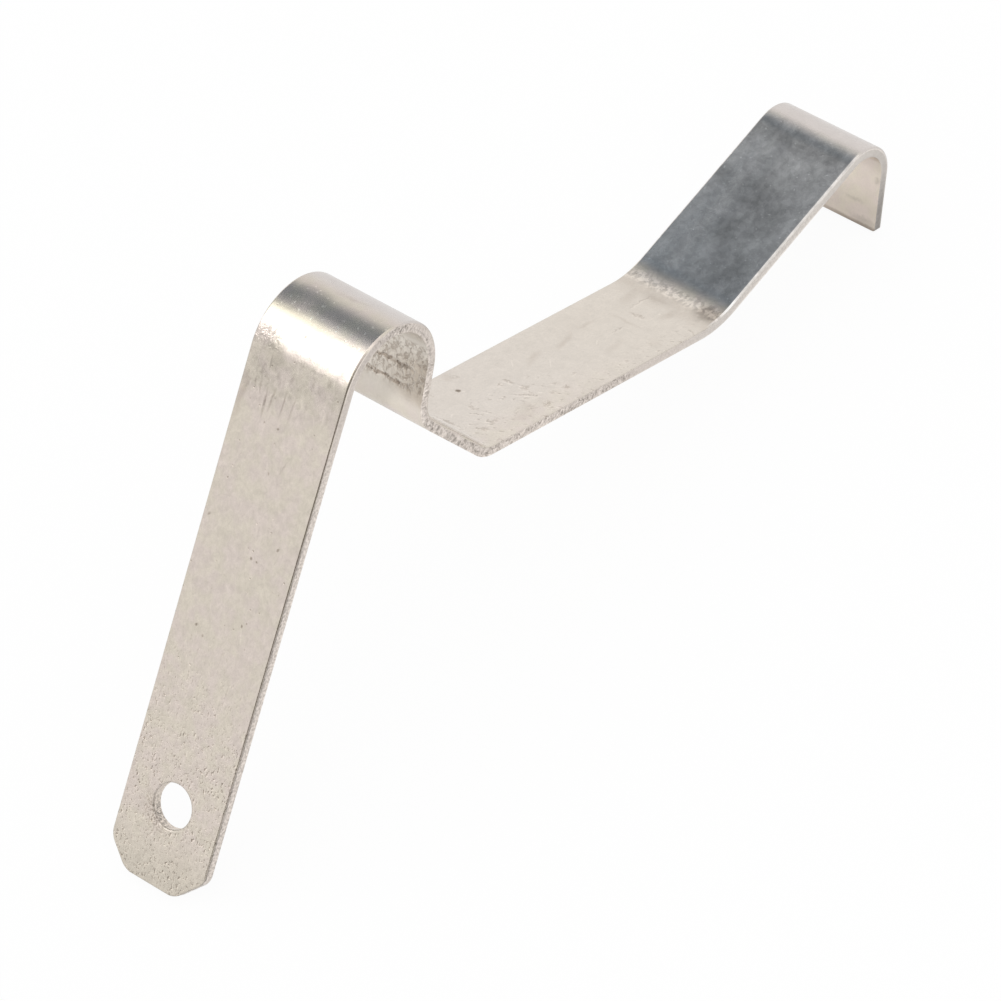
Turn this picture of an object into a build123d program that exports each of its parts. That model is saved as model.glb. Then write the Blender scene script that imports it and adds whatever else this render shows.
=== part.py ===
from build123d import *
import os
from math import asin, atan2, degrees, hypot

# Contact spring: one strip of spring steel, sheared to length, punched with one hole and bent five times.
# All sizes are in millimetres and all turns in degrees.
# The strip is first laid out with its leg upright: Z runs up the leg from the screw end, X points away
# from the front face, through the thickness, and Y runs across the width. It is then set down at rest.

# Section of the strip
strip_width = 8.0
strip_thickness = 0.75
# The shear rounds the edges of the front face and leaves those of the back face sharp
edge_roll_radius = 0.12

# Flat runs, from the screw end to the lip
leg_length = 36.7
throat_length = 2.3
riser_length = 6.75
arm_length = 21.9
ramp_length = 13.8
lip_length = 4.65

# Bends between the flats: the radius is that of the hollow side
crown_radius = 3.75
crown_turn = 169.5
heel_radius = 2.25
heel_turn = 57.5
corner_radius = 2.25
corner_turn = 37.5
knee_radius = 6.4
knee_turn = 29.0
nose_radius = 2.25
nose_turn = 116.0

# Screw end: one hole, and both corners cropped at 45 degrees, a little unevenly
hole_diameter = 3.1
hole_from_end = 5.7
near_corner_cut = 2.0
far_corner_cut = 1.75
cut_corner_radius = 1.2

# Lip end: corners rounded in the plane of the lip
lip_corner_radius = 0.3

# Two places nearer than this are taken as one
same_place = 0.001

# The strip's path: each flat's length, then the hollow radius and the turn of the bend that follows it.
# A minus turn bends the strip away from its front face, so that the front is on the outside.
path = [
    (leg_length, crown_radius, -crown_turn),
    (throat_length, heel_radius, heel_turn),
    (riser_length, corner_radius, corner_turn),
    (arm_length, knee_radius, knee_turn),
    (ramp_length, nose_radius, -nose_turn),
]


def upright(point):
    """A point or direction of the side view, in the upright layout."""
    return Vector(point.X, 0, point.Y)


def profile_line(depth):
    """Side view of the strip at a depth below its front face, as flats joined by tangent arcs."""
    point = Vector(depth, 0)
    heading = Vector(0, 1)
    edges = []
    for flat_length, hollow_radius, turn in path:
        flat = Line(point, point + heading * flat_length)
        radius = hollow_radius + (depth if turn > 0 else strip_thickness - depth)
        bend = JernArc(start=flat @ 1, tangent=heading, radius=radius, arc_size=turn)
        edges += [flat, bend]
        point = bend @ 1
        heading = bend % 1
    edges.append(Line(point, point + heading * lip_length))
    return edges


def bent_blank():
    """The bent strip before its holes and ends are finished."""
    front = profile_line(0)
    back = profile_line(strip_thickness)
    screw_end = Line(front[0] @ 0, back[0] @ 0)
    lip_end = Line(front[-1] @ 1, back[-1] @ 1)
    side_view = make_face(front + [lip_end] + back + [screw_end])
    return extrude(Plane.XZ * side_view, amount=strip_width / 2, both=True)


def punch_hole(strip):
    """The round hole near the leg's end, on the strip's centre line."""
    punch = Cylinder(radius=hole_diameter / 2, height=4 * strip_thickness, rotation=(0, 90, 0))
    return strip - Pos(strip_thickness / 2, 0, hole_from_end) * punch


def edges_through(strip, normal):
    """Short straight edges that run right through the thickness along a flat's normal."""
    step = normal * strip_thickness
    return strip.edges().filter_by(lambda edge: edge.geom_type == GeomType.LINE
                                   and min((edge @ 1 - edge @ 0 - step).length,
                                           (edge @ 0 - edge @ 1 - step).length) < same_place)


def crop_screw_end(strip):
    """Both corners of the leg's end cut at 45 degrees, with the four new corners softened."""
    leg_normal = Vector(1, 0, 0)
    near_corner = edges_through(strip, leg_normal).group_by(Axis.Z)[0].sort_by(Axis.Y)[0]
    strip = chamfer(near_corner, near_corner_cut)
    far_corner = edges_through(strip, leg_normal).group_by(Axis.Z)[0].sort_by(Axis.Y)[-1]
    strip = chamfer(far_corner, far_corner_cut)
    highest_cut = max(near_corner_cut, far_corner_cut) + same_place
    new_corners = edges_through(strip, leg_normal).filter_by(lambda edge: edge.center().Z < highest_cut)
    return fillet(new_corners, cut_corner_radius)


def round_lip_corners(strip):
    """The two corners of the lip's free end."""
    front_end = upright(profile_line(0)[-1] @ 1)
    back_end = upright(profile_line(strip_thickness)[-1] @ 1)
    lip_normal = (back_end - front_end).normalized()
    end_middle = (front_end + back_end) / 2
    corners = edges_through(strip, lip_normal).filter_by(
        lambda edge: abs((edge.center() - end_middle).length - strip_width / 2) < same_place)
    return fillet(corners, lip_corner_radius)


def roll_front_edges(strip):
    """Every edge of the front face, round the outline and the hole, takes the shear's small radius."""
    front_wire = Plane.XZ * Wire(profile_line(0))
    rim = []
    for face in strip.faces():
        middle = face.position_at(0.5, 0.5)
        if front_wire.distance_to(Vector(middle.X, 0, middle.Z)) < same_place:
            rim += face.edges()
    outline = [edge for edge in rim if sum(edge.is_same(other) for other in rim) == 1]
    return fillet(outline, edge_roll_radius)


def resting_place(strip):
    """Where the strip stands like a bridge, on the leg's back corner and on the lip's rolled front edge."""
    lip_run = profile_line(edge_roll_radius)[-1]
    roll_centre = lip_run @ 1 - (lip_run % 1) * edge_roll_radius
    span_x = roll_centre.X - strip_thickness
    span_z = roll_centre.Y
    tilt = degrees(atan2(span_z, span_x) - asin(edge_roll_radius / hypot(span_x, span_z)))
    turned = Rot(0, tilt, 0)
    box = (turned * strip).bounding_box()
    return Pos(-box.center().X, -box.center().Y, -box.min.Z) * turned


blank = bent_blank()
cropped = crop_screw_end(punch_hole(blank))
finished = roll_front_edges(round_lip_corners(cropped))
stand = resting_place(finished)
contact_spring = stand * finished

os.makedirs("parts", exist_ok=True)
export_step(contact_spring, "parts/contact_spring.step")
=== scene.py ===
import bmesh
import bpy
from cmath import exp, phase
from math import asin, ceil, cos, radians, sin, tan
from mathutils import Matrix, Vector, noise


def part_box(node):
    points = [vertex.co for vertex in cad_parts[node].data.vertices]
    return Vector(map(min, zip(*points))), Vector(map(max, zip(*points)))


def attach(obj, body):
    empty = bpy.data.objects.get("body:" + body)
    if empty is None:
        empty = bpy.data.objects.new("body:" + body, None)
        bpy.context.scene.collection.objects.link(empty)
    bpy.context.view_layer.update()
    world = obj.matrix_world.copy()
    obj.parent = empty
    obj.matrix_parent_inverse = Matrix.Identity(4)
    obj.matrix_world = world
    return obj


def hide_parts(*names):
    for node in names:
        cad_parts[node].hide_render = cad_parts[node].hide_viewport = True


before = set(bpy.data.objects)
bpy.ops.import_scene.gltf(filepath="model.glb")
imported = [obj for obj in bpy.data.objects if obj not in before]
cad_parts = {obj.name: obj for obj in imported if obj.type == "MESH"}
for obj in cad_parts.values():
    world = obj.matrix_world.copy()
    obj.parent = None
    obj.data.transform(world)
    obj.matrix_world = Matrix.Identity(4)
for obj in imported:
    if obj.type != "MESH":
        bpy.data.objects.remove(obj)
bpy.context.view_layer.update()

# Contact spring: one sheared and bent strip of nickel-plated spring steel.
# It is made here as on the press: a flat blank is cut, punched and rolled at its edges, and then bent.
# Blank: X runs along the strip from the screw end, Y across it. The front face is at Z = 0, the back below.

mm = 0.001

# Section of the strip
strip_width = 8.0 * mm
strip_thickness = 0.75 * mm
edge_roll_radius = 0.12 * mm
edge_roll_steps = 4

# Flat runs, from the screw end to the lip
leg_length = 36.7 * mm
throat_length = 2.3 * mm
riser_length = 6.75 * mm
arm_length = 21.9 * mm
ramp_length = 13.8 * mm
lip_length = 4.65 * mm

# Bends: hollow radius, and turn in degrees, minus where the front face is outside
crown_bend = (3.75 * mm, -169.5)
heel_bend = (2.25 * mm, 57.5)
corner_bend = (2.25 * mm, 37.5)
knee_bend = (6.4 * mm, 29.0)
nose_bend = (2.25 * mm, -116.0)

# Screw end and lip
hole_diameter = 3.1 * mm
hole_from_end = 5.7 * mm
hole_steps = 96
near_corner_cut = 2.0 * mm
far_corner_cut = 1.75 * mm
cut_corner_turn = radians(45)
cut_corner_radius = 1.2 * mm
lip_corner_radius = 0.3 * mm
corner_steps = 6

# The blank is divided this finely along its edges, and its sheared walls in this many rows
edge_step = 0.16 * mm
wall_rows = 4

# The sheared walls stand this far out and in of a true plane, in ridges about this wide and this many times
# as long through the thickness. At the front face only this share of the height is left
tear_depth = 0.012 * mm
tear_width = 0.2 * mm
tear_stretch = 4
front_tear_share = 0.2

# The upward part of a face's normal is below the first on an upright wall, above the second on a level face
upright_limit = 0.001
level_limit = 0.9999

# Edges up to this many times a run's length count as its sides
length_slack = 1.001

path = [
    (leg_length, crown_bend),
    (throat_length, heel_bend),
    (riser_length, corner_bend),
    (arm_length, knee_bend),
    (ramp_length, nose_bend),
    (lip_length, None),
]


def front_arc(bend):
    """Length of a bend along the front face."""
    hollow_radius, turn = bend
    radius = hollow_radius + (strip_thickness if turn < 0 else 0)
    return radius * abs(radians(turn))


def stretches():
    """The bent strip's flats and bends in turn, with where each starts in the blank and in the side view.

    The side view is a complex plane, with X real and Z imaginary, and the leg upright."""
    along = 0.0
    point = 0j
    heading = 1j
    for flat_length, bend in path:
        yield along, flat_length, point, heading, None
        along += flat_length
        point += heading * flat_length
        if bend is None:
            continue
        hollow_radius, turn = bend
        inward = -1j * heading
        centre = point + inward * (hollow_radius + strip_thickness if turn < 0 else -hollow_radius)
        bend_length = front_arc(bend)
        rate = radians(turn) / bend_length
        yield along, bend_length, point, heading, (centre, rate)
        along += bend_length
        point = centre + (point - centre) * exp(1j * rate * bend_length)
        heading *= exp(1j * rate * bend_length)


runs = list(stretches())
blank_length = runs[-1][0] + runs[-1][1]


def bent(along, depth):
    """Where a point of the blank lands in the side view."""
    start, length, point, heading, bend = next(
        (run for run in reversed(runs) if run[0] <= along), runs[0])
    spot = point - 1j * heading * depth
    if bend is None:
        return spot + heading * (along - start)
    centre, rate = bend
    return centre + (spot - centre) * exp(1j * rate * (along - start))


def resting_tilt():
    """How far the strip tips over onto the leg's back corner and the lip's rolled edge."""
    lip_heading = runs[-1][3]
    roll_centre = bent(blank_length, edge_roll_radius) - lip_heading * edge_roll_radius
    span = roll_centre - strip_thickness
    return phase(span) - asin(edge_roll_radius / abs(span))


def is_vertex(item):
    """Tells the vertices from the edges and faces that an operator returns."""
    return isinstance(item, bmesh.types.BMVert)


def add_sheet(bm, length, width):
    """One flat face about the origin."""
    bmesh.ops.create_grid(bm, x_segments=1, y_segments=1, size=0.5)
    bmesh.ops.scale(bm, vec=(length, width, 1), verts=bm.verts)


def add_object(name, bm, *finishes):
    """Puts a mesh into the scene as an object, with its finishes."""
    mesh = bpy.data.meshes.new(name)
    bm.to_mesh(mesh)
    bm.free()
    for finish in finishes:
        mesh.materials.append(finish)
    made = bpy.data.objects.new(name, mesh)
    bpy.context.scene.collection.objects.link(made)
    return made


def edges_beyond(bm, x):
    """Edges that lie across the blank past a place along it."""
    return [edge for edge in bm.edges if all(vertex.co.x > x for vertex in edge.verts)]


def divide_evenly(bm, edges):
    """Cuts each edge into steps."""
    for edge in edges:
        cuts = ceil(edge.calc_length() / edge_step) - 1
        if cuts > 0:
            bmesh.ops.subdivide_edges(bm, edges=[edge], cuts=cuts)


def corner_at(bm, x, y):
    """The outline's corner nearest to a place."""
    return min(bm.verts, key=lambda vertex: (vertex.co - Vector((x, y, 0))).length)


def round_off(bm, corners, offset, steps):
    """Cuts or rounds corners of the flat outline."""
    return bmesh.ops.bevel(bm, geom=corners, offset=offset, offset_type="OFFSET", segments=steps,
                           profile=0.5, affect="VERTICES", material=-1)["verts"]


def screw_end_plate(bm, plate_length):
    """The leg's first stretch, with both corners cropped and its hole punched."""
    half = strip_width / 2
    add_sheet(bm, plate_length, strip_width)
    bmesh.ops.translate(bm, vec=(plate_length / 2, 0, 0), verts=bm.verts)
    cropped = round_off(bm, [corner_at(bm, 0, -half)], near_corner_cut, 1)
    cropped += round_off(bm, [corner_at(bm, 0, half)], far_corner_cut, 1)
    round_off(bm, cropped, cut_corner_radius * tan(cut_corner_turn / 2), corner_steps)
    bmesh.ops.delete(bm, geom=bm.faces[:], context="FACES_ONLY")
    end = edges_beyond(bm, plate_length - edge_step)
    divide_evenly(bm, [edge for edge in bm.edges if edge not in end])
    bmesh.ops.create_circle(bm, segments=hole_steps, radius=hole_diameter / 2,
                            matrix=Matrix.Translation((hole_from_end, 0, 0)))
    bmesh.ops.triangle_fill(bm, use_beauty=True, edges=bm.edges[:], normal=(0, 0, 1))


def draw_out(bm, start, length):
    """Lengthens the sheet past its far edge, in even steps."""
    far = [edge for edge in edges_beyond(bm, start - edge_step / 2) if edge.is_boundary]
    drawn = [item for item in bmesh.ops.extrude_edge_only(bm, edges=far)["geom"] if is_vertex(item)]
    bmesh.ops.translate(bm, vec=(length, 0, 0), verts=drawn)
    sides = [edge for vertex in drawn for edge in vertex.link_edges
             if edge.calc_length() < length * length_slack
             and abs(edge.verts[0].co.y - edge.verts[1].co.y) < edge_step]
    bmesh.ops.subdivide_edges(bm, edges=sides, cuts=ceil(length / edge_step) - 1, use_grid_fill=True)


def cut_blank(bm):
    """The blank's front face, before it has a thickness."""
    plate_length = 2 * hole_from_end
    screw_end_plate(bm, plate_length)
    draw_out(bm, plate_length, leg_length - plate_length)
    for start, length, *side_view in runs[1:]:
        draw_out(bm, start, length)
    lip_corners = [corner_at(bm, blank_length, side) for side in (-strip_width / 2, strip_width / 2)]
    round_off(bm, lip_corners, lip_corner_radius, corner_steps)
    bmesh.ops.recalc_face_normals(bm, faces=bm.faces)
    if sum(face.normal.z for face in bm.faces) < 0:
        bmesh.ops.reverse_faces(bm, faces=bm.faces)


def kind_of(face):
    """Which of the strip's surfaces a face of the flat blank is on."""
    if abs(face.normal.z) < upright_limit:
        return "wall"
    if abs(face.normal.z) < level_limit:
        return "roll"
    return "front" if face.normal.z > 0 else "back"


def give_thickness(bm):
    """Sinks a second face below the front one, and divides the walls between them into rows."""
    sunk = [item for item in bmesh.ops.extrude_face_region(bm, geom=bm.faces[:])["geom"] if is_vertex(item)]
    bmesh.ops.translate(bm, vec=(0, 0, -strip_thickness), verts=sunk)
    bmesh.ops.recalc_face_normals(bm, faces=bm.faces)
    through = [edge for edge in bm.edges
               if abs(edge.verts[0].co.z - edge.verts[1].co.z) > strip_thickness / 2]
    bmesh.ops.subdivide_edges(bm, edges=through, cuts=wall_rows - 1, use_grid_fill=True)


def roll_front_edges(bm):
    """The small round that the shear leaves all along the front face's rim and the hole's."""
    bm.normal_update()
    rim = [edge for edge in bm.edges if {kind_of(face) for face in edge.link_faces} == {"front", "wall"}]
    bmesh.ops.bevel(bm, geom=rim, offset=edge_roll_radius, offset_type="OFFSET", segments=edge_roll_steps,
                    profile=0.5, affect="EDGES", material=-1)


def mark_surfaces(bm):
    """Smooth faces with sharp borders, the sheared walls with a finish of their own."""
    bm.normal_update()
    place = bm.verts.layers.float_vector.new("blank_place")
    for vertex in bm.verts:
        vertex[place] = vertex.co / mm
    for face in bm.faces:
        face.smooth = True
        face.material_index = 1 if kind_of(face) == "wall" else 0
    for edge in bm.edges:
        edge.smooth = len({kind_of(face) for face in edge.link_faces}) == 1


def tear_walls(bm):
    """Raises and sinks the sheared walls in fine ridges through the thickness, most towards the back face."""
    for vertex in bm.verts:
        kinds = {kind_of(face) for face in vertex.link_faces}
        if kinds not in ({"wall"}, {"wall", "back"}):
            continue
        outward = Vector((vertex.normal.x, vertex.normal.y, 0)).normalized()
        across_ridges = Vector((vertex.co.x, vertex.co.y, vertex.co.z / tear_stretch)) / tear_width
        share = min(1, -vertex.co.z / strip_thickness + front_tear_share)
        vertex.co += outward * noise.noise(across_ridges) * tear_depth * share


def bend_strip(bm):
    """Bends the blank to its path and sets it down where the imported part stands."""
    tilt = exp(-1j * resting_tilt())
    for vertex in bm.verts:
        side = bent(vertex.co.x, -vertex.co.z) * tilt
        vertex.co = (side.real, vertex.co.y, side.imag)
    low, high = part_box("contact_spring")
    left = min(vertex.co.x for vertex in bm.verts)
    bottom = min(vertex.co.z for vertex in bm.verts)
    bmesh.ops.translate(bm, vec=(low.x - left, 0, low.z - bottom), verts=bm.verts)
    bm.normal_update()


def contact_strip():
    """The whole spring as one mesh, with its two finishes."""
    bm = bmesh.new()
    cut_blank(bm)
    give_thickness(bm)
    roll_front_edges(bm)
    mark_surfaces(bm)
    tear_walls(bm)
    bend_strip(bm)
    return add_object("bent_strip", bm, plated_face(), sheared_wall())


class Value:
    """A socket of a node tree; sums and products of values add their nodes."""

    def __init__(self, shading, socket):
        self.shading = shading
        self.socket = socket

    def maths(self, operation, *terms):
        """One sum, product or comparison of values and numbers."""
        return self.shading.node("Math", {"operation": operation}, dict(enumerate(terms)))

    def vector(self, operation, other, output=0):
        """One operation between this vector and another."""
        return self.shading.node("VectorMath", {"operation": operation}, {0: self, 1: other}, output)

    def __add__(self, other):
        return self.maths("ADD", self, other)

    def __mul__(self, other):
        return self.maths("MULTIPLY", self, other)

    def __sub__(self, other):
        return self.maths("SUBTRACT", self, other)

    def __rsub__(self, other):
        return self.maths("SUBTRACT", other, self)

    __radd__ = __add__
    __rmul__ = __mul__

    def larger(self, other):
        """The larger of two values."""
        return self.maths("MAXIMUM", self, other)

    def ramp(self, low, high):
        """0 below low and 1 above high, turning smoothly between them; low may be the higher of the two."""
        return self.shading.node("MapRange", {"interpolation_type": "SMOOTHSTEP"},
                                 {"Value": self, "From Min": low, "From Max": high})

    def zone(self, start, end, soft):
        """1 between two values and 0 outside them."""
        return self.ramp(start - soft, start + soft) * self.ramp(end + soft, end - soft)

    def moved(self, other):
        """A place moved by a vector."""
        return self.vector("ADD", other)

    def stretched(self, *scale):
        """A place scaled along each axis."""
        return self.vector("MULTIPLY", scale)

    def turned(self, degrees):
        """A place turned in the plane of the strip."""
        return self.shading.node("VectorRotate", {"rotation_type": "Z_AXIS"},
                                 {"Vector": self, "Angle": radians(degrees)})

    def part(self, axis):
        """One axis of a place or of a colour."""
        return self.shading.node("SeparateXYZ", {}, {"Vector": self}, axis)

    def scaled(self, share):
        """A colour made lighter or darker."""
        return self.shading.node("VectorMath", {"operation": "SCALE"}, {0: self, "Scale": share})

    def output(self, name):
        """Another output of the node that this value comes from."""
        return Value(self.shading, self.socket.node.outputs[name])


class Shading:
    """The node tree of one finish or of the studio round the spring."""

    def __init__(self, tree):
        self.tree = tree
        tree.nodes.clear()

    def node(self, kind, settings, inputs, output=0):
        """Adds a node: its settings come first, then the values or links of its sockets."""
        made = self.tree.nodes.new("ShaderNode" + kind)
        for name, setting in settings.items():
            setattr(made, name, setting)
        for name, value in inputs.items():
            if isinstance(value, Value):
                self.tree.links.new(value.socket, made.inputs[name])
            else:
                made.inputs[name].default_value = value
        return Value(self, made.outputs[output])

    def noise(self, place, per_mm, detail=2.0, roughness=0.5, warp=0.0):
        """Soft random light and dark about 0.5, with this many grains a millimetre."""
        return self.node("TexNoise", {}, {"Vector": place, "Scale": per_mm, "Detail": detail,
                                          "Roughness": roughness, "Distortion": warp})

    def waver(self, place, per_mm, detail=2.0, roughness=0.5, warp=0.0):
        """The same noise about 0."""
        return self.noise(place, per_mm, detail, roughness, warp) - 0.5

    def mix(self, share, first, second):
        """A colour between two."""
        return self.node("Mix", {"data_type": "RGBA"}, {0: share, 6: first, 7: second}, 2)

    def blank_place(self):
        """Where a point lay in the flat blank, in millimetres."""
        return self.node("Attribute", {"attribute_name": "blank_place"}, {}, "Vector")

    def wandering(self, place, per_mm, reach):
        """The same places, each shifted a little at random, so that what is drawn on them is uneven."""
        shift = self.noise(place, per_mm, 1.0).output("Color").moved((-0.5, -0.5, -0.5))
        return place.moved(shift.stretched(2 * reach, 2 * reach, 0))

    def finish(self, target, shader):
        """Shows a shader on the surface or in the world."""
        shown = self.tree.nodes.new("ShaderNodeOutput" + target)
        self.tree.links.new(shader.socket, shown.inputs["Surface"])


def layered(base, layers):
    """A value with patterns laid over it, each at its own strength: plus lightens, minus darkens."""
    for pattern, strength in layers:
        base = base + pattern * strength
    return base


def strongest(layers):
    """The strongest of several patterns at each place, each at its own strength."""
    total = None
    for pattern, strength in layers:
        one = pattern * strength
        total = one if total is None else total.larger(one)
    return total


def pits(shading, place, per_mm, share, radius):
    """Small hollows of uneven size and depth, 1 in the deepest and 0 outside, in a share of even cells."""
    cells = shading.node("TexVoronoi", {"voronoi_dimensions": "2D"}, {"Vector": place, "Scale": per_mm},
                         "Distance")
    chance = cells.output("Color")
    chosen = chance.part("X").ramp(1 - share, 1.02 - share)
    reach = (chance.part("Y") * 0.8 + 0.6) * (radius * per_mm)
    return chosen * cells.ramp(reach, reach * 0.3) * (chance.part("Z") * 0.6 + 0.4)


def specks(shading, place, per_mm, low, high):
    """Ragged specks of uneven size, where a fine noise rises over a limit."""
    return shading.noise(place, per_mm, roughness=0.6).ramp(low, high)


def streaks(shading, place, angle, length, width, low, high):
    """Fine lines of uneven length near one direction."""
    drawn = place.turned(-angle).stretched(1 / length, 1 / width, 1)
    return shading.noise(drawn, per_mm=1.0, detail=1.0).ramp(low, high)


def mark(place, along, across, length, width, angle=0.0, soft=0.6):
    """One mark at a place of the blank, 1 in its middle and 0 outside."""
    local = place.moved((-along, -across, 0))
    if angle:
        local = local.turned(-angle)
    local = local.stretched(2 / length, 2 / width, 0)
    return local.vector("LENGTH", (0, 0, 0), "Value").ramp(1 + soft / 2, 1 - soft)


def marks(place, rows, soft=0.6):
    """The strongest of several marks; a row gives along, across, length, width, angle and strength."""
    return strongest([(mark(place, *shape, soft), strength) for *shape, strength in rows])


# Single marks in the blank, in millimetres and degrees: along, across, length, width, angle, strength
nicks = [
    (23.7, -0.56, 0.26, 0.2, 0, 0.9), (23.65, -1.04, 0.2, 0.2, 0, 0.8), (25.1, -2.35, 0.3, 0.2, -40, 0.8),
    (25.0, 3.5, 0.3, 0.18, -30, 0.6), (17.8, 2.1, 0.24, 0.18, -40, 0.9), (17.3, 1.4, 0.2, 0.2, 0, 0.6),
    (19.25, -1.3, 0.3, 0.14, 20, 0.9), (32.4, 0.2, 0.24, 0.2, -60, 0.7), (29.4, -0.05, 0.26, 0.16, 20, 0.5),
    (6.1, 1.2, 0.2, 0.16, 0, 1.2), (66.0, 1.82, 0.42, 0.36, -30, 1.3), (38.7, 0.4, 0.26, 0.22, 0, 0.6),
]
ragged_nicks = [
    (67.1, 3.08, 0.6, 0.5, -20, 0.5), (68.7, 0.5, 0.5, 0.4, 20, 0.8), (69.45, 0.4, 0.3, 0.9, 10, 0.9),
    (65.1, -0.1, 0.4, 0.7, -20, 0.7), (62.5, -0.3, 0.3, 2.4, 8, 0.8), (62.3, 1.7, 0.6, 0.4, 0, 0.7),
    (69.1, -1.5, 2.0, 0.26, -44, 1.0), (69.7, -0.9, 0.7, 0.7, 0, 0.8), (69.5, -1.6, 0.9, 0.2, 70, 0.6),
    (63.7, -2.4, 0.6, 0.6, 0, 0.8), (65.0, -2.2, 1.0, 0.4, 12, 0.7), (67.0, -2.4, 1.2, 0.3, 30, 0.6),
    (69.3, -3.1, 0.9, 0.6, 20, 0.9), (68.1, -2.7, 1.3, 0.6, 20, 0.5), (70.7, -2.4, 0.6, 0.4, 0, 0.6),
    (71.9, -2.6, 0.6, 0.5, 20, 0.9), (73.6, -1.8, 0.6, 0.2, 10, 0.5), (82.7, 0.1, 0.5, 1.3, 10, 0.7),
    (84.3, 1.1, 2.4, 0.16, 2, 0.6), (80.2, -0.2, 1.4, 0.16, 0, 0.5), (86.4, -2.8, 0.5, 0.6, 0, 0.4),
    (88.3, 3.7, 0.4, 0.5, 0, 0.6), (64.2, 2.6, 0.5, 0.4, 40, 0.4), (70.5, 2.2, 0.4, 0.3, 40, 0.3),
]
drawn_lines = [
    (33.5, 1.76, 1.9, 0.2, 2, 1.0), (33.9, 1.3, 1.6, 0.2, -6, 0.6), (34.0, 0.35, 2.0, 0.16, -3, 0.6),
    (34.0, -0.4, 2.2, 0.16, -4, 0.5), (36.2, 2.1, 1.2, 0.18, 4, 0.7), (34.4, 2.4, 1.0, 0.16, 8, 0.5),
    (30.2, -1.0, 1.4, 0.14, -18, 0.4),
]
smudges = [
    (73.1, 1.3, 2.4, 0.5, 22, 0.6), (76.4, 1.3, 2.6, 0.5, 22, 0.7), (79.1, 1.7, 1.8, 0.4, -8, 0.6),
    (84.2, 2.0, 2.6, 0.9, 14, 0.6), (81.5, 0.2, 0.4, 2.2, 5, 0.6), (78.4, -1.4, 2.6, 0.8, 12, 0.4),
    (66.9, -3.0, 2.0, 0.9, -10, 0.5), (80.9, -3.1, 1.4, 1.2, 30, 0.3), (84.4, -1.3, 1.8, 0.9, 0, 0.8),
    (42.9, -0.2, 0.5, 2.6, 4, 0.6), (36.6, 2.0, 1.6, 1.2, 0, 0.4), (33.4, 3.7, 3.6, 0.6, 0, 0.9),
    (2.3, -1.6, 2.6, 2.6, 0, 0.25), (66.8, 3.5, 0.9, 1.0, 0, 0.6), (85.4, 0.6, 1.0, 2.4, 0, 0.9),
    (67.9, -2.6, 1.4, 0.9, 30, 0.5),
]
bright_scratches = [
    (71.4, 1.7, 0.9, 0.1, 45, 1), (73.4, 0.05, 1.1, 0.09, 42, 1), (77.9, -0.3, 0.7, 0.1, 35, 1),
    (18.6, -1.45, 1.2, 0.1, 14, 1), (66.2, 1.5, 0.3, 0.2, 0, 1), (70.0, -1.9, 0.4, 0.2, -40, 1),
    (69.6, -0.6, 0.3, 0.24, 0, 1), (63.3, 0.1, 0.5, 0.16, 30, 0.8), (87.9, 1.9, 0.8, 0.12, 35, 0.5),
    (67.2, 0.2, 0.7, 0.1, 20, 0.6), (62.3, 0.3, 0.3, 0.2, 0, 0.8), (84.0, -0.8, 0.24, 0.2, 0, 1),
]
ramp_darks = [
    (89.9, -2.0, 3.0, 3.0, 10, 0.6), (95.0, -1.7, 3.2, 1.8, 0, 0.5), (96.0, 0.2, 4.0, 3.6, 30, 0.75),
    (92.8, 0.2, 2.6, 2.4, 20, 0.7), (101.0, 0.0, 1.8, 14.0, 0, 0.7), (96.2, 3.0, 2.6, 2.0, 40, 0.6),
]
ramp_lights = [
    (90.5, 0.5, 1.6, 1.2, 30, 0.9), (99.4, 2.6, 2.4, 2.6, 20, 0.7), (92.2, -2.1, 1.8, 1.4, 0, 0.8),
    (99.6, -1.0, 2.0, 3.0, 0, 0.8), (95.6, -3.4, 5.0, 0.8, 0, 0.6), (92.8, -3.0, 2.0, 1.2, 0, 0.6),
]
lip_marks = [
    (112.0, -3.0, 0.7, 2.4, 0, 1.0), (108.4, -3.75, 0.6, 0.5, 0, 1.3), (110.6, -2.0, 0.4, 1.8, 0, 0.9),
]

# Tints of the plate, two of them painted highlight colours, and the soil in its hollows, which also browns
# painted shade at the lip's end
pink_plate = (0.650, 0.575, 0.522, 1)
yellow_plate = (0.643, 0.585, 0.502, 1)
arm_plate = (0.645, 0.5925, 0.5385, 1)
late_arm_plate = (0.642, 0.588, 0.525, 1)
bend_top_plate = (0.645, 0.598, 0.570, 1)
throat_plate = (0.695, 0.645, 0.58, 1)
# yellowish colour painted into the upper edge of the crown's highlight
crown_highlight_tint = (0.635, 0.583, 0.475, 1)
ramp_plate = (0.616, 0.592, 0.570, 1)
# neutral colour of the painted highlight on the knee's near rolled edge
knee_edge_highlight_tint = (0.61, 0.60, 0.59, 1)
brown_soil_and_shade = (0.50, 0.40, 0.32, 1)
wall_plate = (0.68, 0.615, 0.564, 1)
torn_wall_plate = (0.61, 0.545, 0.49, 1)
nose_wall_plate = (0.665, 0.623, 0.582, 1)
bore_plate = (0.73, 0.66, 0.59, 1)

# The hole's rim and bore are this much dull soil, and not metal
soiled_share = 0.8

# Heights of the looks are counted in this size on the faces and on the sheared walls
face_bump = 0.012 * mm
wall_bump = 0.015 * mm


def from_hole(place):
    """Distance from the hole's middle, in millimetres."""
    from_middle = place.moved((-hole_from_end / mm, 0, 0)).stretched(1, 1, 0)
    return from_middle.vector("LENGTH", (0, 0, 0), "Value")


def chafed(shading, place):
    """Grey specks where a screw's head has rubbed the hole's rim on one side."""
    return specks(shading, place, 6.0, low=0.46, high=0.57) * mark(place, 4.7, 1.1, 1.7, 3.0, -40, 0.8)


def new_finish(name):
    """An empty material, and the shading that fills it."""
    finish = bpy.data.materials.new(name)
    finish.use_nodes = True
    return finish, Shading(finish.node_tree)


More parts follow.
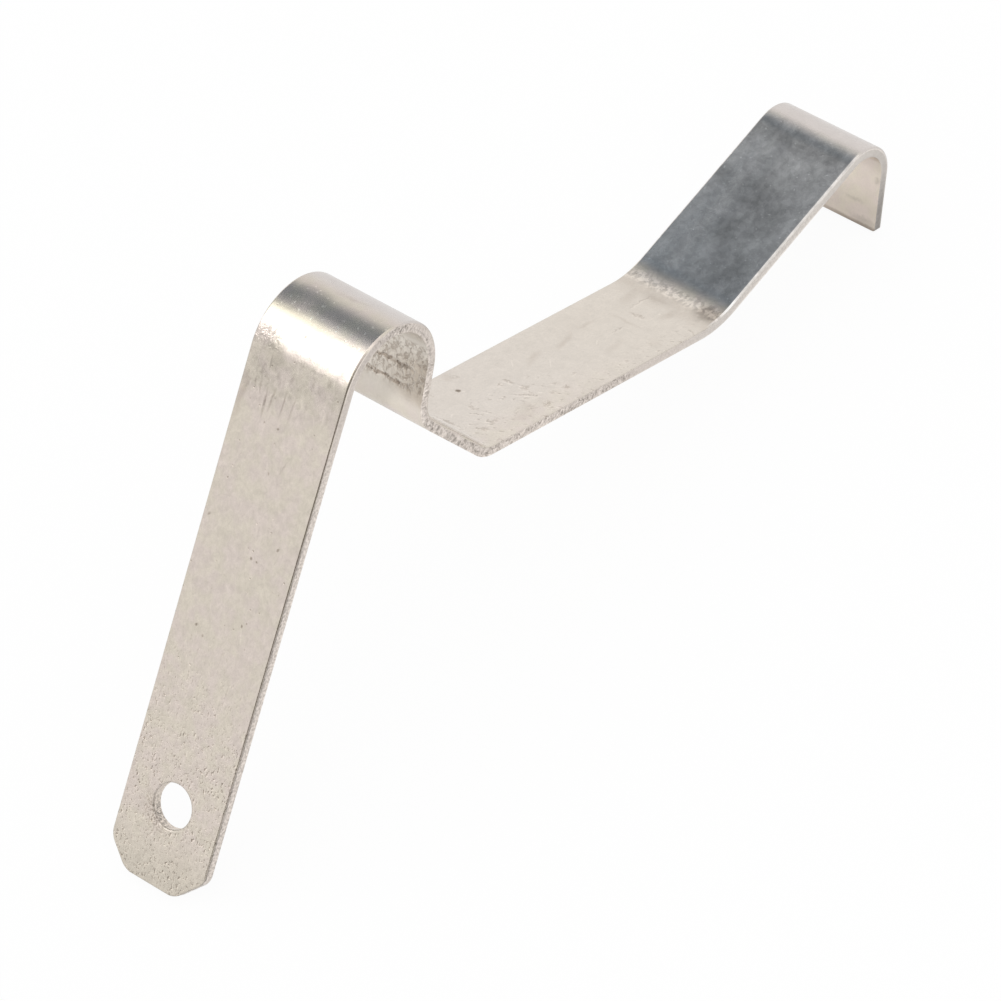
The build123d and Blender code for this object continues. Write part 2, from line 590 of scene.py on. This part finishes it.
def show_metal(shading, look, metallic, bump_size):
    """Shows metal with the colour, roughness and height of a look."""
    bump = shading.node("Bump", {}, {"Height": look.height(), "Strength": 1.0, "Distance": bump_size})
    metal = shading.node("BsdfPrincipled", {}, {"Base Color": look.colour(), "Metallic": metallic,
                                                "Roughness": look.roughness(), "Normal": bump})
    shading.finish("Material", metal)


class PlatedLook:
    """The patterns of the plated faces, which their colour, roughness and bumps are made of.

    A part of the strip or a kind of wear is 1 where it shows fully and 0 elsewhere; grain, leather, cloud and
    swirl lie about 0. Along runs from the screw end, across from -4 at the near edge to 4 at the far one, and
    depth from 0 at the front face down to the back, all in millimetres. A noise that is read at a moved place
    gives another pattern of the same kind."""

    def __init__(self, shading):
        self.shading = shading
        self.place = shading.blank_place()
        self.along = self.place.part("X")
        self.across = self.place.part("Y")
        self.depth = self.place.part("Z")
        self.flat_place = self.place.stretched(1, 1, 3)
        self.uneven = shading.wandering(self.place, per_mm=4.0, reach=0.06)
        self.ragged_place = shading.wandering(self.place, per_mm=3.2, reach=0.2)
        self.wander = shading.wandering(self.place, per_mm=0.8, reach=0.5)
        self.add_grain()
        self.add_parts()
        self.add_borders()
        self.add_pits()
        self.add_handling()
        self.add_torn_metal()
        self.add_drawing()
        self.add_throat_folds()
        self.add_ramp_mottle()

    def add_grain(self):
        """The unevenness that rolling and plating leave all over, from fine to broad."""
        shading = self.shading
        place = self.flat_place
        self.grain = shading.waver(place, 6.5, detail=3.0, roughness=0.6)
        self.leather = shading.waver(place.stretched(0.8, 1, 1), 2.6, detail=3.0, roughness=0.6, warp=0.8)
        self.cloud = shading.waver(place, 0.9, detail=3.0, roughness=0.55, warp=0.6)
        self.patches = shading.noise(place.moved((0, 30, 0)), 0.55, warp=0.5).ramp(0.4, 0.6)
        self.hue = shading.noise(place.moved((40, 0, 0)), 0.7).ramp(0.35, 0.65)

    def add_parts(self):
        """The parts of the strip, from the screw end to the lip."""
        along = self.along
        drifting = along + self.cloud * 0.8
        self.front = self.depth.ramp(-0.3, -0.2)
        self.back = 1 - self.front
        self.near_hole = along.ramp(20, 7)
        self.leg = along.ramp(38, 34)
        self.crown = along.zone(38.2, 47, 1.5)
        self.throat = drifting.zone(48, 52, 0.3) * self.back
        self.arm = along.zone(61, 86.5, 0.8)
        self.arm_face = self.arm * self.front
        # Painted highlight across the knee bend, stronger towards the far side
        self.knee = drifting.zone(86.1, 87.3, 0.2) * self.front
        self.coined_knee = drifting.zone(86.0, 87.0, 0.25) * self.front
        self.ramp = along.zone(87.6, 102.3, 0.5) * self.front
        self.nose = along.zone(102.2, 107, 0.6)
        self.bend_tops = (along.zone(43, 46, 0.8) + along.zone(102.4, 107, 0.6)) * self.front
        self.lip_inside = along.ramp(104, 110) * self.back
        # Painted shade: darker towards the lip's end, which rests on the floor
        self.lip_tip_shade = along.ramp(108.5, 111.5)

    def add_borders(self):
        """Ends, rims and the narrow stretches beside the bends."""
        along = self.along
        across = self.across
        wander = self.wander
        self.screw_end = along.ramp(4, 0)
        self.hole_rim = from_hole(self.place).ramp(1.72, 1.6)
        # Painted shade: a dark reflected line painted along the near rolled edge of the leg and the arm
        rim_shade_stretch = along.ramp(34, 30) + self.arm * (0.3 + self.leather * 2)
        self.rim_light_and_shade = self.depth.ramp(-0.02, -0.1) * across.ramp(0, -1) * rim_shade_stretch
        self.under_crown = (along + across * 0.12 + self.cloud * 3).zone(34.0, 37.9, 1.3) * self.front
        # Painted shade that dims the lower edge of the crown's reflected highlight
        self.crown_dimmed_highlight = along.zone(36.95, 37.65, 0.12) * self.front
        # Painted highlight: a light stripe along the upper edge of the crown's reflected highlight
        self.crown_highlight_stripe = along.zone(39.7, 40.4, 0.25) * across.ramp(2.5, 0.5) * self.front
        # Where the card's dark reflection crosses the crown: painted a little lighter, with more painted
        # highlight specks
        self.crown_band = (along + self.grain * 0.8).zone(39.6, 41.9, 0.4) * self.front
        self.crown_edge = mark(wander, 46.2, -3.4, 1.6, 2.4) * self.front
        self.crown_inside = along.zone(42, 53, 1) * self.back
        # Painted light on the back of the heel at its near edge, over a dark reflection there
        self.heel_painted_light = mark(wander, 53.4, -3, 3, 4) * self.back
        patchy = self.leather * 2 + 0.7
        self.before_knee = (along + self.cloud * 3).zone(84.8, 86.3, 0.8) * self.front * patchy
        self.knee_end = mark(wander, 86.3, -3.3, 2.0, 2.4) * self.front
        self.knee_corner = mark(wander, 86.6, 3.8, 1.2, 1.2)
        # Painted highlight: a white line along the near rolled edge at the knee
        self.knee_edge_highlight = along.zone(85.6, 88.4, 0.6) * across.ramp(-3.84, -3.92)
        # Painted shadow: a dark line along the lip's bottom edge, where it meets the floor
        self.lip_end_shade = (along + self.cloud * 0.2).ramp(112.1, 112.35) * across.ramp(3, -2) * self.back

    def add_pits(self):
        """Pits, with bright specks beside them that are painted highlights, most of them round the hole, the
        single nicks, and painted glints in the crown's dark band.
        """
        shading = self.shading
        stroked = self.uneven.stretched(0.55, 1, 1)
        coarse = specks(shading, stroked, 5.2, low=0.59, high=0.68)
        fine = specks(shading, stroked.moved((7, 3, 0)), 7.0, low=0.58, high=0.67)
        few = pits(shading, self.uneven.moved((3, 5, 0)), per_mm=1.1, share=0.2, radius=0.08)
        sown = self.near_hole * (self.patches * 0.6 + 0.4) + 0.04
        self.pitted = (coarse.larger(fine * 0.7) * sown).larger(few * self.along.ramp(44, 34) * 0.7)
        nicked = marks(self.uneven, nicks) * self.front
        self.hollow = self.pitted.larger(nicked).larger(chafed(shading, self.place) * 0.8)
        # Painted highlights: the pits' specks again, moved a little to one side and made lighter
        bright = specks(shading, stroked.moved((0.02, 0.09, 0)), 5.2, low=0.59, high=0.68)
        self.speck_highlights = bright * (sown * 1.1)
        # Painted glints: light specks over the crown's reflected dark band
        glint_band = self.along.zone(39.4, 42.3, 0.4)
        self.band_glints = specks(shading, self.uneven.moved((1, 9, 0)), 2.6, low=0.62, high=0.68) * glint_band

    def add_handling(self):
        """Smudges, rubbing, scratches and the far corner's ragged patch below the crown."""
        shading = self.shading
        self.scratch = marks(self.uneven, bright_scratches) * self.front
        self.smudge = marks(self.wander, smudges, 0.9) * (self.leather * 2 + self.cloud + 0.9) * self.front
        stroked = streaks(shading, self.wander, angle=-54, length=1.6, width=0.5, low=0.5, high=0.8)
        self.rubbed = stroked * self.along.zone(19, 31, 3) * self.front
        far_corner = mark(self.wander, 35.3, 3.0, 3.6, 2.2, 0, 0.9)
        self.ragged = specks(shading, self.uneven, 3.0, low=0.54, high=0.7) * far_corner
        self.lip_marked = marks(self.ragged_place, lip_marks, 0.8) * self.back

    def add_torn_metal(self):
        """Picked and torn places of the arm: dark hollows, each with a painted highlight on the raised edge
        beside it.
        """
        shading = self.shading
        busy = self.front * self.along.zone(61.5, 71.5, 1.5) * self.across.ramp(1.5, -1.5) * self.patches
        busy = busy.larger(self.arm_face * self.across.ramp(-2.0, -3.6) * 0.5)
        picked = self.uneven.turned(35).stretched(0.6, 1.3, 1)
        dark = specks(shading, picked, 3.0, low=0.58, high=0.68) * busy
        # painted highlights: the dark specks again, moved a little to one side
        bright = specks(shading, picked.moved((0.1, 0.08, 0)), 3.0, low=0.58, high=0.68) * busy
        torn = marks(self.ragged_place, ragged_nicks, 0.8) * self.front
        # painted highlights beside the torn marks
        beside = marks(self.ragged_place.moved((0.12, 0.12, 0)), ragged_nicks, 0.8) * self.front
        self.handled = dark.larger(torn * specks(shading, self.ragged_place, 5.0, low=0.40, high=0.52))
        self.raised_edge_highlights = bright.larger(beside * 0.8)

    def add_drawing(self):
        """What bending has left: drawn lines below the crown, and coining across the knee."""
        shading = self.shading
        lines = marks(self.uneven, drawn_lines, 0.9) * (self.leather * 4 + 0.9)
        fine_lines = streaks(shading, self.ragged_place, angle=0, length=1.0, width=0.4, low=0.56, high=0.8)
        self.drawn = lines.larger(fine_lines * self.under_crown * 0.35) * self.front
        hammered = shading.noise(self.uneven.stretched(0.8, 1.1, 1), 2.8).ramp(0.40, 0.60) - 0.5
        self.coined = hammered * self.coined_knee

    def add_throat_folds(self):
        """Two press lines across the back of the throat, and the crumpled plate between them."""
        shading = self.shading
        creased = shading.wandering(self.place, per_mm=1.7, reach=0.2)
        lines = mark(creased, 50.45, 0.5, 0.34, 30) + mark(creased, 51.75, 0.5, 0.32, 30)
        broken = self.leather * 3 + self.grain * 2 + 0.9
        self.press_lines = lines * self.back * self.across.ramp(-3.4, -2.0) * broken
        pressed = self.uneven.stretched(0.8, 1.1, 1)
        crumpled = shading.noise(pressed, 2.6, detail=3.0, roughness=0.65, warp=0.8)
        self.wrinkle = crumpled.ramp(0.52, 0.38) * self.throat
        self.facet = crumpled.ramp(0.54, 0.64) * self.throat

    def add_ramp_mottle(self):
        """Cloudy light and dark of the ramp, which reflects the dark card."""
        shading = self.shading
        place = self.flat_place
        self.swirl = shading.waver(place.moved((0, 20, 0)), 1.0, warp=0.3)
        self.mottle = shading.noise(place.moved((9, 0, 0)), 2.2, warp=0.5).ramp(0.44, 0.56) - 0.5
        winding = shading.noise(place.moved((0, 70, 0)), 1.3, detail=1.0, warp=1.5)
        self.squiggles = winding.zone(0.49, 0.51, soft=0.012) * self.patches
        self.flecks = specks(shading, self.uneven.moved((0, 50, 0)), 3.4, low=0.66, high=0.72)

    def ramp_tone(self):
        """How much lighter or darker the ramp is than the rest."""
        along = self.along
        across = self.across
        far_side = across.ramp(-1, 4) * along.ramp(101, 94)
        middle = along.zone(90, 97.5, 1.5)
        # Painted highlight along the ramp's near rolled edge
        near_edge_highlight = across.ramp(-3.72, -3.9)
        return self.ramp * layered(0.05, [
            (self.swirl, 0.65),
            (self.mottle, 0.12),
            (self.flecks, 0.4),
            (self.squiggles, 0.12),
            (far_side, 0.24),
            (middle, -0.07),
            (near_edge_highlight, 0.2),
            (marks(self.wander, ramp_lights, 0.9), 0.2),
            (marks(self.wander, ramp_darks, 0.9), -0.34),
        ])

    def bend_tone(self):
        """How much lighter or darker the bends, borders and ends are than the rest."""
        return layered(self.ramp_tone(), [
            (self.screw_end, -0.08),
            (self.hole_rim, -0.14),
            # painted shade along the near rolled edge
            (self.rim_light_and_shade, -0.4),
            (self.under_crown, self.cloud * 0.45 + self.leather * 0.15 - 0.15),
            # painted shade over the lower edge of the crown's highlight
            (self.crown_dimmed_highlight, -0.1),
            # painted highlight at the upper edge of the crown's highlight
            (self.crown_highlight_stripe, 0.3),
            # painted light over the crown's reflected dark band
            (self.crown_band, 0.08),
            (self.crown_edge, -0.08),
            # painted light over a dark reflection on the heel
            (self.heel_painted_light, 0.2),
            (self.arm, 0.1),
            (self.before_knee, -0.12),
            # painted highlight in the knee bend
            (self.knee, self.across.ramp(-1, 3) * 0.12 + 0.12),
            (self.coined, 0.36),
            (self.knee_end, -0.38),
            # painted highlight on the knee's near rolled edge
            (self.knee_edge_highlight, 0.5),
            (self.knee_corner, -0.25),
            (self.lip_inside, 0.26),
            # painted shade towards the lip's end
            (self.lip_tip_shade, -0.2),
            (self.lip_marked, -0.18),
            # painted shadow along the lip's bottom edge
            (self.lip_end_shade, -0.4),
        ])

    def tone(self):
        """How light the plate is, about 1."""
        return layered(self.bend_tone() + 1, [
            (self.grain, self.near_hole * 0.12 - self.crown * 0.06 + 0.14),
            (self.cloud, 0.16),
            (self.leather, self.leg * 0.36 + self.arm * 0.16),
            (self.hollow, -0.44),
            # painted highlights beside the pits, more of them over the crown's dark band
            (self.speck_highlights, self.crown_band * 0.4 + 0.25),
            # painted glints in the crown's dark band
            (self.band_glints, 0.5),
            (self.scratch, 0.12),
            (self.handled, -0.3),
            # painted highlights beside the torn places
            (self.raised_edge_highlights, 0.16),
            (self.smudge, -0.12),
            (self.rubbed, -0.05),
            (self.ragged, -0.2),
            (self.drawn, -0.36),
            (self.press_lines, -0.24),
            (self.wrinkle, -0.2),
            (self.facet, 0.12),
        ])

    def soil(self):
        """How much soil has settled, with the painted shade at the lip's end browned in like soil."""
        return strongest([
            (self.hollow, 1.0),
            (self.press_lines, 1.0),
            (self.wrinkle, 0.6),
            (self.drawn, 0.4),
            (self.smudge, 0.4),
            (self.handled, 0.6),
            (self.before_knee, 0.3),
            (self.knee_end, 0.6),
            # the lip's painted shadow, browned like soil
            (self.lip_end_shade, 0.6),
            (self.ragged, 0.4),
        ])

    def colour(self):
        """The plate's tints, each over the last, with the soil and the painted shade browned with it, and
        then the tone over them.
        """
        along = self.along
        across = self.across
        tints = [
            (self.arm_face * (1 - across.ramp(-1, -3.6) * 0.6), arm_plate),
            (self.bend_tops, bend_top_plate),
            (self.crown_inside, throat_plate),
            (along.ramp(66, 82) * self.arm_face, late_arm_plate),
            # painted highlight colour: yellows the crown's reflected highlight at its upper edge
            (along.zone(39.0, 40.0, 0.3) * across.ramp(-3, 0.5) * self.front, crown_highlight_tint),
            (self.ramp * 0.85, ramp_plate),
            # neutral tint of the painted highlight on the knee's near edge
            (self.knee_edge_highlight, knee_edge_highlight_tint),
            (self.soil() * 0.6, brown_soil_and_shade),
        ]
        colour = self.shading.mix(self.hue.larger(along.ramp(6, 1)), pink_plate, yellow_plate)
        for share, tint in tints:
            colour = self.shading.mix(share, colour, tint)
        return colour.scaled(self.tone())

    def roughness(self):
        """Satin all over, duller in the hollows, round the hole and over the bends."""
        along = self.along
        crown_to_riser = along.zone(42, 56, 1) * self.back
        pressed_knee = along.zone(85.9, 88.2, 0.3)
        nose_start = along.zone(101.8, 102.8, 0.3)
        return layered(0.17, [
            (self.crown, 0.1),
            (self.near_hole, 0.08),
            (self.hollow, 0.15),
            (self.under_crown, 0.1),
            (crown_to_riser, 0.15),
            (pressed_knee, -0.1),
            (self.ramp, self.swirl * 0.04 + 0.02),
            (nose_start, 0.05),
            (self.nose, 0.06),
        ])

    def height(self):
        """Bumps, and a slope where the crown and the nose begin, which turns their reflections a little."""
        along = self.along
        crown_rise = self.across.ramp(0.5, 3.4) * 22.0 - 5.0
        crown_slope = (along + self.leather * 0.7).ramp(36.9, 38.9) * crown_rise
        nose_slope = along.ramp(101.2, 103.2) * 11.0
        return layered(crown_slope + nose_slope, [
            (self.grain, 0.4 - self.crown * 0.35 - self.ramp * 0.35),
            (self.cloud, 0.8 - self.ramp * 0.6),
            (self.leather, self.leg * 0.8 + self.under_crown * 0.5),
            (self.pitted, -1.2),
            (self.coined, 0.3),
            (self.press_lines, -2.0),
            (self.wrinkle, -1.2),
        ])


class WallLook:
    """The patterns of the sheared walls: ridges from face to face, winding tears, a burr at the back."""

    def __init__(self, shading):
        self.shading = shading
        self.place = shading.blank_place()
        self.along = self.place.part("X")
        self.depth = self.place.part("Z")
        self.add_texture()
        self.add_parts()
        self.add_tears()

    def add_texture(self):
        """Noises that the shear's marks are made of."""
        shading = self.shading
        place = self.place
        uneven = shading.wandering(place, per_mm=3.0, reach=0.12)
        self.ridges = shading.noise(uneven.stretched(1, 1, 0.45), 5.5, roughness=0.6)
        self.worms = shading.noise(place.stretched(1, 1, 0.85), 3.0, detail=3.0, roughness=0.6, warp=1.2)
        self.grain = shading.waver(place, 8.0, detail=3.0, roughness=0.6)
        self.cloud = shading.noise(place.stretched(1, 1, 0), 0.5)
        self.dots = shading.noise(place.moved((7, 0, 0)), 5.0).ramp(0.42, 0.58) - 0.5

    def add_parts(self):
        """The hole's bore, and the parts of the outer wall along the strip and through its thickness."""
        along = self.along
        self.bore = from_hole(self.place).ramp(2.0, 1.8)
        self.outer = 1 - self.bore
        self.leg = along.ramp(38, 27) * self.outer
        self.before_crown = along.zone(33, 38, 2)
        self.crown_start = along.zone(36, 39.6, 0.8)
        self.crown_rise = along.zone(38, 43, 1)
        self.crown_ring = along.zone(44.3, 49.5, 0.6)
        self.throat = along.zone(50.5, 53, 0.8)
        self.arm_start = along.zone(60.5, 69, 1.5)
        self.ramp = along.zone(88, 97.5, 1)
        self.nose = along.zone(98, 106, 1)
        # Where the lip's wall gets painted shade
        self.lip = along.ramp(102, 110)
        # Painted shade: the wall darker towards the lip's end
        self.lip_end_shade = along.ramp(107.5, 111)
        self.burr = (self.depth + self.cloud * 0.1).ramp(-0.5, -0.66)
        # The band at the top of the wall under the front rim, where painted highlights and painted shade are
        # laid
        self.rim_light_and_shade = (self.depth + self.grain * 0.1).ramp(-0.26, -0.14)
        self.lower_wall = 1 - self.rim_light_and_shade

    def add_tears(self):
        """Tears, strongest from the crown to the arm, and the bore's rubbed side with bright glints."""
        along = self.along
        worked = along.zone(53, 77, 2) + along.zone(41, 53, 2) * 0.8 + along.zone(40.8, 44.6, 0.8) * 0.2
        smooth_ring = self.crown_ring * self.depth.ramp(-0.52, -0.46) * 0.6
        self.worked = worked * (self.cloud * 0.8 + 0.5) * (1 - smooth_ring)
        ridged = self.ridges.ramp(0.58, 0.42) * (self.worked * 0.4 + 0.2)
        self.torn = ridged + self.worms.ramp(0.49, 0.39) * (self.worked + self.leg * 0.3)
        self.rubbed = chafed(self.shading, self.place) * self.bore
        rubbed_side = mark(self.place, 4.5, 0.7, 2.0, 3.2, -50, 0.8) * self.bore
        bright = specks(self.shading, self.place.moved((3, 2, 0)), 5.5, low=0.54, high=0.62)
        self.glints = bright * rubbed_side

    def tone(self):
        """How light the wall is, about 1."""
        along = self.along
        burr = self.burr
        rim_light_and_shade = self.rim_light_and_shade
        lower_wall = self.lower_wall
        leg_line = self.depth.zone(-0.36, -0.2, 0.05) * self.leg
        ring_line = self.depth.zone(-0.55, -0.48, 0.03) * self.crown_ring
        return layered(1.06, [
            (self.leg, 0.08),
            (self.torn, burr * 0.12 - 0.3),
            (self.worms.ramp(0.52, 0.64) * self.worked, 0.24),
            (self.grain, self.worked * 0.3 + 0.3),
            (self.dots, self.leg * 0.34 + self.ramp * 0.14 + self.worked * 0.12),
            (self.rubbed, -0.6),
            (self.glints, 0.4),
            (burr, self.ramp * 0.2 + 0.06),
            (burr * self.leg * along.ramp(14, 6), -0.14),
            # painted shade: a dark reflected line along the top of the leg's wall
            (rim_light_and_shade * self.outer * along.ramp(33, 24), -0.5),
            # painted highlight where the rim reflects the lamp at the crown's start
            (rim_light_and_shade * self.crown_start, 0.3),
            (lower_wall * self.before_crown, -0.08),
            (lower_wall * self.crown_rise, -0.12),
            (leg_line * along.ramp(10, 15), -0.08),
            (ring_line, -0.16),
            (self.throat, 0.14),
            (self.arm_start, 0.08),
            # painted highlight along the top of the nose's wall, painted shade low on it
            (self.nose, rim_light_and_shade * 0.25 - burr * 0.12 - 0.05),
            # painted shade: the lip's wall darker, most of all below its top band
            (self.lip, lower_wall * -0.2 - 0.1),
            # painted shade towards the lip's end
            (self.lip_end_shade, -0.25),
        ])

    def colour(self):
        """Paler where the wall is whole, brown where it is torn, with the tone over it."""
        shading = self.shading
        colour = shading.mix(self.torn, wall_plate, torn_wall_plate)
        colour = shading.mix(self.along.ramp(81, 87) * (1 - self.torn), colour, nose_wall_plate)
        return shading.mix(self.bore, colour, bore_plate).scaled(self.tone())

    def roughness(self):
        """Duller than the faces, most of all in the tears and the bore."""
        return layered(0.32, [(self.torn, 0.15), (self.bore, 0.2)])

    def height(self):
        """Ridges and grain."""
        return self.ridges * (self.worked * 2 + 1) + self.grain


def plated_face():
    """Satin nickel plate: pitted round the hole, drawn out below the crown and cloudy on the ramp."""
    finish, shading = new_finish("plated_spring_steel")
    look = PlatedLook(shading)
    show_metal(shading, look, 1 - look.hole_rim * soiled_share, face_bump)
    return finish


def sheared_wall():
    """The same plate over the walls that the shear left torn."""
    finish, shading = new_finish("sheared_spring_steel")
    look = WallLook(shading)
    show_metal(shading, look, 1 - look.bore * soiled_share, wall_bump)
    return finish


white = (1, 1, 1, 1)
paper_white = (0.95, 0.95, 0.95, 1)

# The lamp's lower and upper edge by rise in degrees, each from dark to light, and its reach to the far side
lamp_foot = (86, 102)
lamp_head = (157, 140)
lamp_sides = (0.15, 0.85)
lamp_side_softness = 0.1
lamp_strength = 1.7

floor_side = 4.0

# Shares of the floor's look that are plain white instead of lit paper
white_share_seen = 0.94
white_share_reflected = 0.45


def studio():
    """Plain white all round, with one soft lamp high on the far left that shows only in the metal's gloss.

    Rise is an angle in the side view: 0 towards the lip, 90 straight up and 180 towards the leg."""
    world = bpy.data.worlds.new("studio")
    world.use_nodes = True
    bpy.context.scene.world = world
    shading = Shading(world.node_tree)
    direction = shading.node("TexCoord", {}, {}, "Generated")
    rise = shading.node("Math", {"operation": "ARCTAN2"}, {0: direction.part("Z"), 1: direction.part("X")})
    lamp = rise.ramp(*map(radians, lamp_foot)) * rise.ramp(*map(radians, lamp_head))
    lamp = lamp * direction.part("Y").zone(*lamp_sides, lamp_side_softness)
    plain = shading.node("Background", {}, {"Color": white, "Strength": 1.0})
    glossy = shading.node("Background", {}, {"Color": white, "Strength": 1 + lamp * lamp_strength})
    seen = shading.node("LightPath", {}, {}, "Is Glossy Ray")
    shading.finish("World", shading.node("MixShader", {}, {0: seen, 1: plain, 2: glossy}))


def dull_card(name, centre, size, facing, tone, fades=()):
    """A card beside the set that shows only in the metal's gloss; facing is the way that its front looks.

    A fade gives two places along X between which the card turns towards white, and how far it turns."""
    finish, shading = new_finish(name)
    finish.cycles.emission_sampling = "NONE"
    x = shading.node("TexCoord", {}, {}, "Object").part("X")
    colour = tone
    for start, end, share in fades:
        colour = shading.mix(x.ramp(start, end) * share, colour, white)
    shading.finish("Material", shading.node("Emission", {}, {"Color": colour, "Strength": 1.0}))
    bm = bmesh.new()
    add_sheet(bm, *size)
    turn = Vector(facing).to_track_quat("Z", "Y").to_matrix().to_4x4()
    bmesh.ops.transform(bm, matrix=Matrix.Translation(centre) @ turn, verts=bm.verts)
    card = add_object(name, bm, finish)
    card.visible_camera = False
    card.visible_diffuse = False
    card.visible_transmission = False
    card.visible_shadow = False


def cards():
    """One card hangs over the ramp and darkens it and a band of the crown, one stands beside the leg."""
    dull_card("card_above", centre=(0.0755, 0.0925, 0.097), size=(0.169, 0.155), facing=(0, 0, -1),
              tone=(0.195, 0.232, 0.27, 1), fades=[(0.035, 0.130, 1.0), (0.030, -0.012, 0.25)])
    dull_card("card_beside_leg", centre=(-0.058, -0.069, 0.04), size=(0.13, 0.09), facing=(0.65, 0.76, 0),
              tone=(0.25, 0.23, 0.21, 1))


def floor_finish():
    """White floor that shows as bright as the background, with a faint shadow kept."""
    finish, shading = new_finish("pale_floor")
    paper = shading.node("BsdfDiffuse", {}, {"Color": paper_white})
    glow = shading.node("Emission", {}, {"Color": white, "Strength": 1.0})
    seen = shading.node("LightPath", {}, {}, "Is Camera Ray")
    reflected = seen.output("Is Glossy Ray").larger(seen.output("Is Transmission Ray"))
    white_share = seen * white_share_seen + reflected * white_share_reflected
    shading.finish("Material", shading.node("MixShader", {}, {0: white_share, 1: paper, 2: glow}))
    return finish


def pale_floor():
    """The plain floor under the spring."""
    bm = bmesh.new()
    add_sheet(bm, floor_side, floor_side)
    floor = add_object("floor", bm, floor_finish())


def camera():
    """Looks down on the spring from the side of its leg, as the photograph does."""
    aim = Vector((-6.93, -7.0, 13.8)) * mm
    distance = 430.24 * mm
    azimuth = radians(-131.894)
    elevation = radians(48.039)
    roll = radians(11.148)
    lens = bpy.data.cameras.new("camera")
    lens.sensor_width = 36.0
    lens.lens = 239.37
    lens.clip_start = 0.01
    eye = bpy.data.objects.new("camera", lens)
    away = Vector((cos(azimuth) * cos(elevation), sin(azimuth) * cos(elevation), sin(elevation)))
    level = away.to_track_quat("Z", "Y").to_matrix().to_4x4()
    eye.matrix_world = Matrix.Translation(aim + away * distance) @ level @ Matrix.Rotation(-roll, 4, "Z")
    bpy.context.scene.collection.objects.link(eye)
    bpy.context.scene.camera = eye


strip = contact_strip()
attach(strip, "root")
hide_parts("contact_spring")
pale_floor()
cards()
studio()
camera()
bpy.context.scene.view_settings.view_transform = "Standard"
